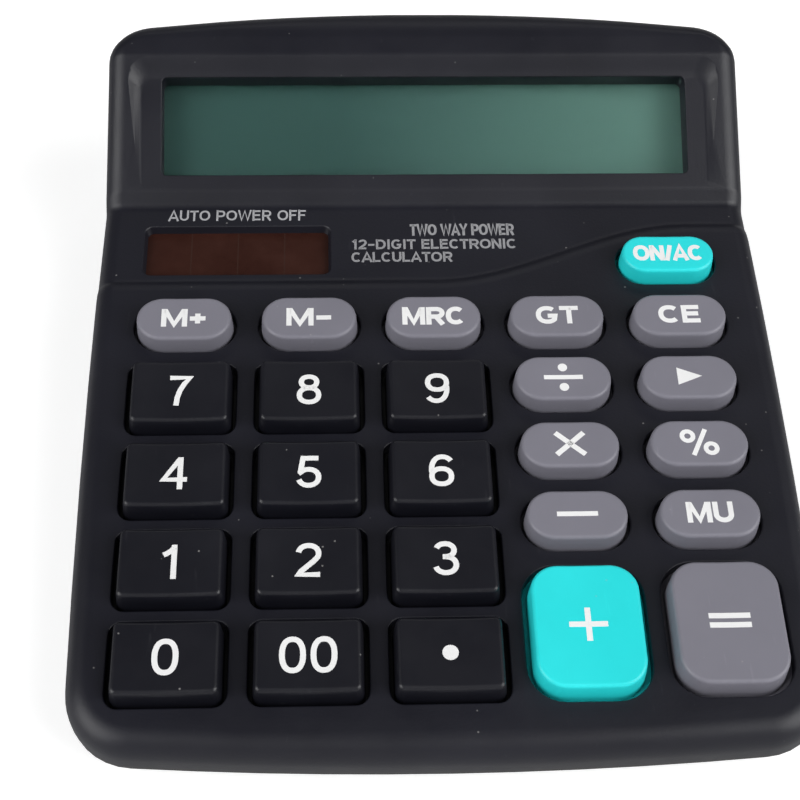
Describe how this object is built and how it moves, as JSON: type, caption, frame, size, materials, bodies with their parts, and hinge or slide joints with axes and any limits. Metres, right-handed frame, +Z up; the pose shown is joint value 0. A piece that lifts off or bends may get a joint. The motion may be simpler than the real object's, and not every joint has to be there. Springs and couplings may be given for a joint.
{
  "type": "desk calculator",
  "caption": "Desk calculator with raised display head, solar cell, sprung keys and a sliding battery door.",
  "frame": {"origin": "on the table, under the middle of the case", "axes": "+X to the right for the user, +Y to the back, where the display is, +Z up"},
  "size_m": [0.1188, 0.1442, 0.0391],
  "materials": {
    "case_black": "fine grained black ABS",
    "base_black": "grained dark ABS",
    "key_black": "satin black ABS, a little polished at the edges",
    "key_grey": "satin grey ABS",
    "key_teal": "satin teal ABS",
    "clear_window": "clear acrylic",
    "lcd_glass": "grey-green reflective display glass",
    "white_plastic": "moulded white plastic",
    "ribbon_film": "amber film with printed traces",
    "solar_brown": "dark brown cell glass",
    "board_laminate": "tan phenolic laminate",
    "epoxy_black": "black epoxy",
    "capacitor_sleeve": "shrink sleeve",
    "diode_glass": "glass body",
    "silicone_mat": "translucent grey silicone",
    "carbon_rubber": "carbon loaded rubber",
    "screw_steel": "zinc plated steel",
    "contact_nickel": "nickel plated spring steel",
    "cell_jacket": "printed jacket",
    "wire_red": "PVC sleeve",
    "wire_black": "PVC sleeve",
    "foot_rubber": "soft matte rubber"
  },
  "bodies": {
    "case": {"upper_case": "case_black", "lower_case": "base_black", "display_window": "clear_window", "lcd_cell": "lcd_glass", "lcd_retainer": "white_plastic", "lcd_screws": "screw_steel", "lcd_ribbon": "ribbon_film", "solar_cell": "solar_brown", "main_board": "board_laminate", "controller_blob": "epoxy_black", "capacitor": "capacitor_sleeve", "diode": "diode_glass", "key_mat": "silicone_mat", "contact_pills": "carbon_rubber", "board_screws": "screw_steel", "aa_cell": "cell_jacket", "battery_spring": "contact_nickel", "battery_plate": "contact_nickel", "battery_wire_red": "wire_red", "battery_wire_black": "wire_black", "solar_wire_red": "wire_red", "solar_wire_black": "wire_black", "case_screws": "screw_steel", "foot_front_left": "foot_rubber", "foot_front_right": "foot_rubber", "foot_back_left": "foot_rubber", "foot_back_right": "foot_rubber"},
    "key_7": {"key_7": "key_black"},
    "key_8": {"key_8": "key_black"},
    "key_9": {"key_9": "key_black"},
    "key_4": {"key_4": "key_black"},
    "key_5": {"key_5": "key_black"},
    "key_6": {"key_6": "key_black"},
    "key_1": {"key_1": "key_black"},
    "key_2": {"key_2": "key_black"},
    "key_3": {"key_3": "key_black"},
    "key_0": {"key_0": "key_black"},
    "key_00": {"key_00": "key_black"},
    "key_point": {"key_point": "key_black"},
    "key_m_plus": {"key_m_plus": "key_grey"},
    "key_m_minus": {"key_m_minus": "key_grey"},
    "key_mrc": {"key_mrc": "key_grey"},
    "key_gt": {"key_gt": "key_grey"},
    "key_ce": {"key_ce": "key_grey"},
    "key_divide": {"key_divide": "key_grey"},
    "key_arrow": {"key_arrow": "key_grey"},
    "key_multiply": {"key_multiply": "key_grey"},
    "key_percent": {"key_percent": "key_grey"},
    "key_minus": {"key_minus": "key_grey"},
    "key_mu": {"key_mu": "key_grey"},
    "key_on_ac": {"key_on_ac": "key_teal"},
    "key_plus": {"key_plus": "key_teal"},
    "key_equals": {"key_equals": "key_grey"},
    "battery_door": {"battery_door": "base_black"}
  },
  "joints": [
    {"name": "press_7", "type": "slide", "parent": "case", "child": "key_7", "axis": [0, 0.0872, -0.9962], "range_m": [0, 0.0012], "stiffness_N_per_m": 450, "springref_m": -0.0012, "deforming": ["key_mat"]},
    {"name": "press_8", "type": "slide", "parent": "case", "child": "key_8", "axis": [0, 0.0872, -0.9962], "range_m": [0, 0.0012], "stiffness_N_per_m": 450, "springref_m": -0.0012, "deforming": ["key_mat"]},
    {"name": "press_9", "type": "slide", "parent": "case", "child": "key_9", "axis": [0, 0.0872, -0.9962], "range_m": [0, 0.0012], "stiffness_N_per_m": 450, "springref_m": -0.0012, "deforming": ["key_mat"]},
    {"name": "press_4", "type": "slide", "parent": "case", "child": "key_4", "axis": [0, 0.0872, -0.9962], "range_m": [0, 0.0012], "stiffness_N_per_m": 450, "springref_m": -0.0012, "deforming": ["key_mat"]},
    {"name": "press_5", "type": "slide", "parent": "case", "child": "key_5", "axis": [0, 0.0872, -0.9962], "range_m": [0, 0.0012], "stiffness_N_per_m": 450, "springref_m": -0.0012, "deforming": ["key_mat"]},
    {"name": "press_6", "type": "slide", "parent": "case", "child": "key_6", "axis": [0, 0.0872, -0.9962], "range_m": [0, 0.0012], "stiffness_N_per_m": 450, "springref_m": -0.0012, "deforming": ["key_mat"]},
    {"name": "press_1", "type": "slide", "parent": "case", "child": "key_1", "axis": [0, 0.0872, -0.9962], "range_m": [0, 0.0012], "stiffness_N_per_m": 450, "springref_m": -0.0012, "deforming": ["key_mat"]},
    {"name": "press_2", "type": "slide", "parent": "case", "child": "key_2", "axis": [0, 0.0872, -0.9962], "range_m": [0, 0.0012], "stiffness_N_per_m": 450, "springref_m": -0.0012, "deforming": ["key_mat"]},
    {"name": "press_3", "type": "slide", "parent": "case", "child": "key_3", "axis": [0, 0.0872, -0.9962], "range_m": [0, 0.0012], "stiffness_N_per_m": 450, "springref_m": -0.0012, "deforming": ["key_mat"]},
    {"name": "press_0", "type": "slide", "parent": "case", "child": "key_0", "axis": [0, 0.0872, -0.9962], "range_m": [0, 0.0012], "stiffness_N_per_m": 450, "springref_m": -0.0012, "deforming": ["key_mat"]},
    {"name": "press_00", "type": "slide", "parent": "case", "child": "key_00", "axis": [0, 0.0872, -0.9962], "range_m": [0, 0.0012], "stiffness_N_per_m": 450, "springref_m": -0.0012, "deforming": ["key_mat"]},
    {"name": "press_point", "type": "slide", "parent": "case", "child": "key_point", "axis": [0, 0.0872, -0.9962], "range_m": [0, 0.0012], "stiffness_N_per_m": 450, "springref_m": -0.0012, "deforming": ["key_mat"]},
    {"name": "press_m_plus", "type": "slide", "parent": "case", "child": "key_m_plus", "axis": [0, 0.0872, -0.9962], "range_m": [0, 0.0012], "stiffness_N_per_m": 450, "springref_m": -0.0012, "deforming": ["key_mat"]},
    {"name": "press_m_minus", "type": "slide", "parent": "case", "child": "key_m_minus", "axis": [0, 0.0872, -0.9962], "range_m": [0, 0.0012], "stiffness_N_per_m": 450, "springref_m": -0.0012, "deforming": ["key_mat"]},
    {"name": "press_mrc", "type": "slide", "parent": "case", "child": "key_mrc", "axis": [0, 0.0872, -0.9962], "range_m": [0, 0.0012], "stiffness_N_per_m": 450, "springref_m": -0.0012, "deforming": ["key_mat"]},
    {"name": "press_gt", "type": "slide", "parent": "case", "child": "key_gt", "axis": [0, 0.0872, -0.9962], "range_m": [0, 0.0012], "stiffness_N_per_m": 450, "springref_m": -0.0012, "deforming": ["key_mat"]},
    {"name": "press_ce", "type": "slide", "parent": "case", "child": "key_ce", "axis": [0, 0.0872, -0.9962], "range_m": [0, 0.0012], "stiffness_N_per_m": 450, "springref_m": -0.0012, "deforming": ["key_mat"]},
    {"name": "press_divide", "type": "slide", "parent": "case", "child": "key_divide", "axis": [0, 0.0872, -0.9962], "range_m": [0, 0.0012], "stiffness_N_per_m": 450, "springref_m": -0.0012, "deforming": ["key_mat"]},
    {"name": "press_arrow", "type": "slide", "parent": "case", "child": "key_arrow", "axis": [0, 0.0872, -0.9962], "range_m": [0, 0.0012], "stiffness_N_per_m": 450, "springref_m": -0.0012, "deforming": ["key_mat"]},
    {"name": "press_multiply", "type": "slide", "parent": "case", "child": "key_multiply", "axis": [0, 0.0872, -0.9962], "range_m": [0, 0.0012], "stiffness_N_per_m": 450, "springref_m": -0.0012, "deforming": ["key_mat"]},
    {"name": "press_percent", "type": "slide", "parent": "case", "child": "key_percent", "axis": [0, 0.0872, -0.9962], "range_m": [0, 0.0012], "stiffness_N_per_m": 450, "springref_m": -0.0012, "deforming": ["key_mat"]},
    {"name": "press_minus", "type": "slide", "parent": "case", "child": "key_minus", "axis": [0, 0.0872, -0.9962], "range_m": [0, 0.0012], "stiffness_N_per_m": 450, "springref_m": -0.0012, "deforming": ["key_mat"]},
    {"name": "press_mu", "type": "slide", "parent": "case", "child": "key_mu", "axis": [0, 0.0872, -0.9962], "range_m": [0, 0.0012], "stiffness_N_per_m": 450, "springref_m": -0.0012, "deforming": ["key_mat"]},
    {"name": "press_on_ac", "type": "slide", "parent": "case", "child": "key_on_ac", "axis": [0, 0.0872, -0.9962], "range_m": [0, 0.0012], "stiffness_N_per_m": 450, "springref_m": -0.0012, "deforming": ["key_mat"]},
    {"name": "press_plus", "type": "slide", "parent": "case", "child": "key_plus", "axis": [0, 0.0872, -0.9962], "range_m": [0, 0.0012], "stiffness_N_per_m": 700, "springref_m": -0.0012, "deforming": ["key_mat"]},
    {"name": "press_equals", "type": "slide", "parent": "case", "child": "key_equals", "axis": [0, 0.0872, -0.9962], "range_m": [0, 0.0012], "stiffness_N_per_m": 700, "springref_m": -0.0012, "deforming": ["key_mat"]},
    {"name": "slide_battery_door", "type": "slide", "parent": "case", "child": "battery_door", "axis": [0, 1, 0], "range_m": [0, 0.02]}
  ]
}
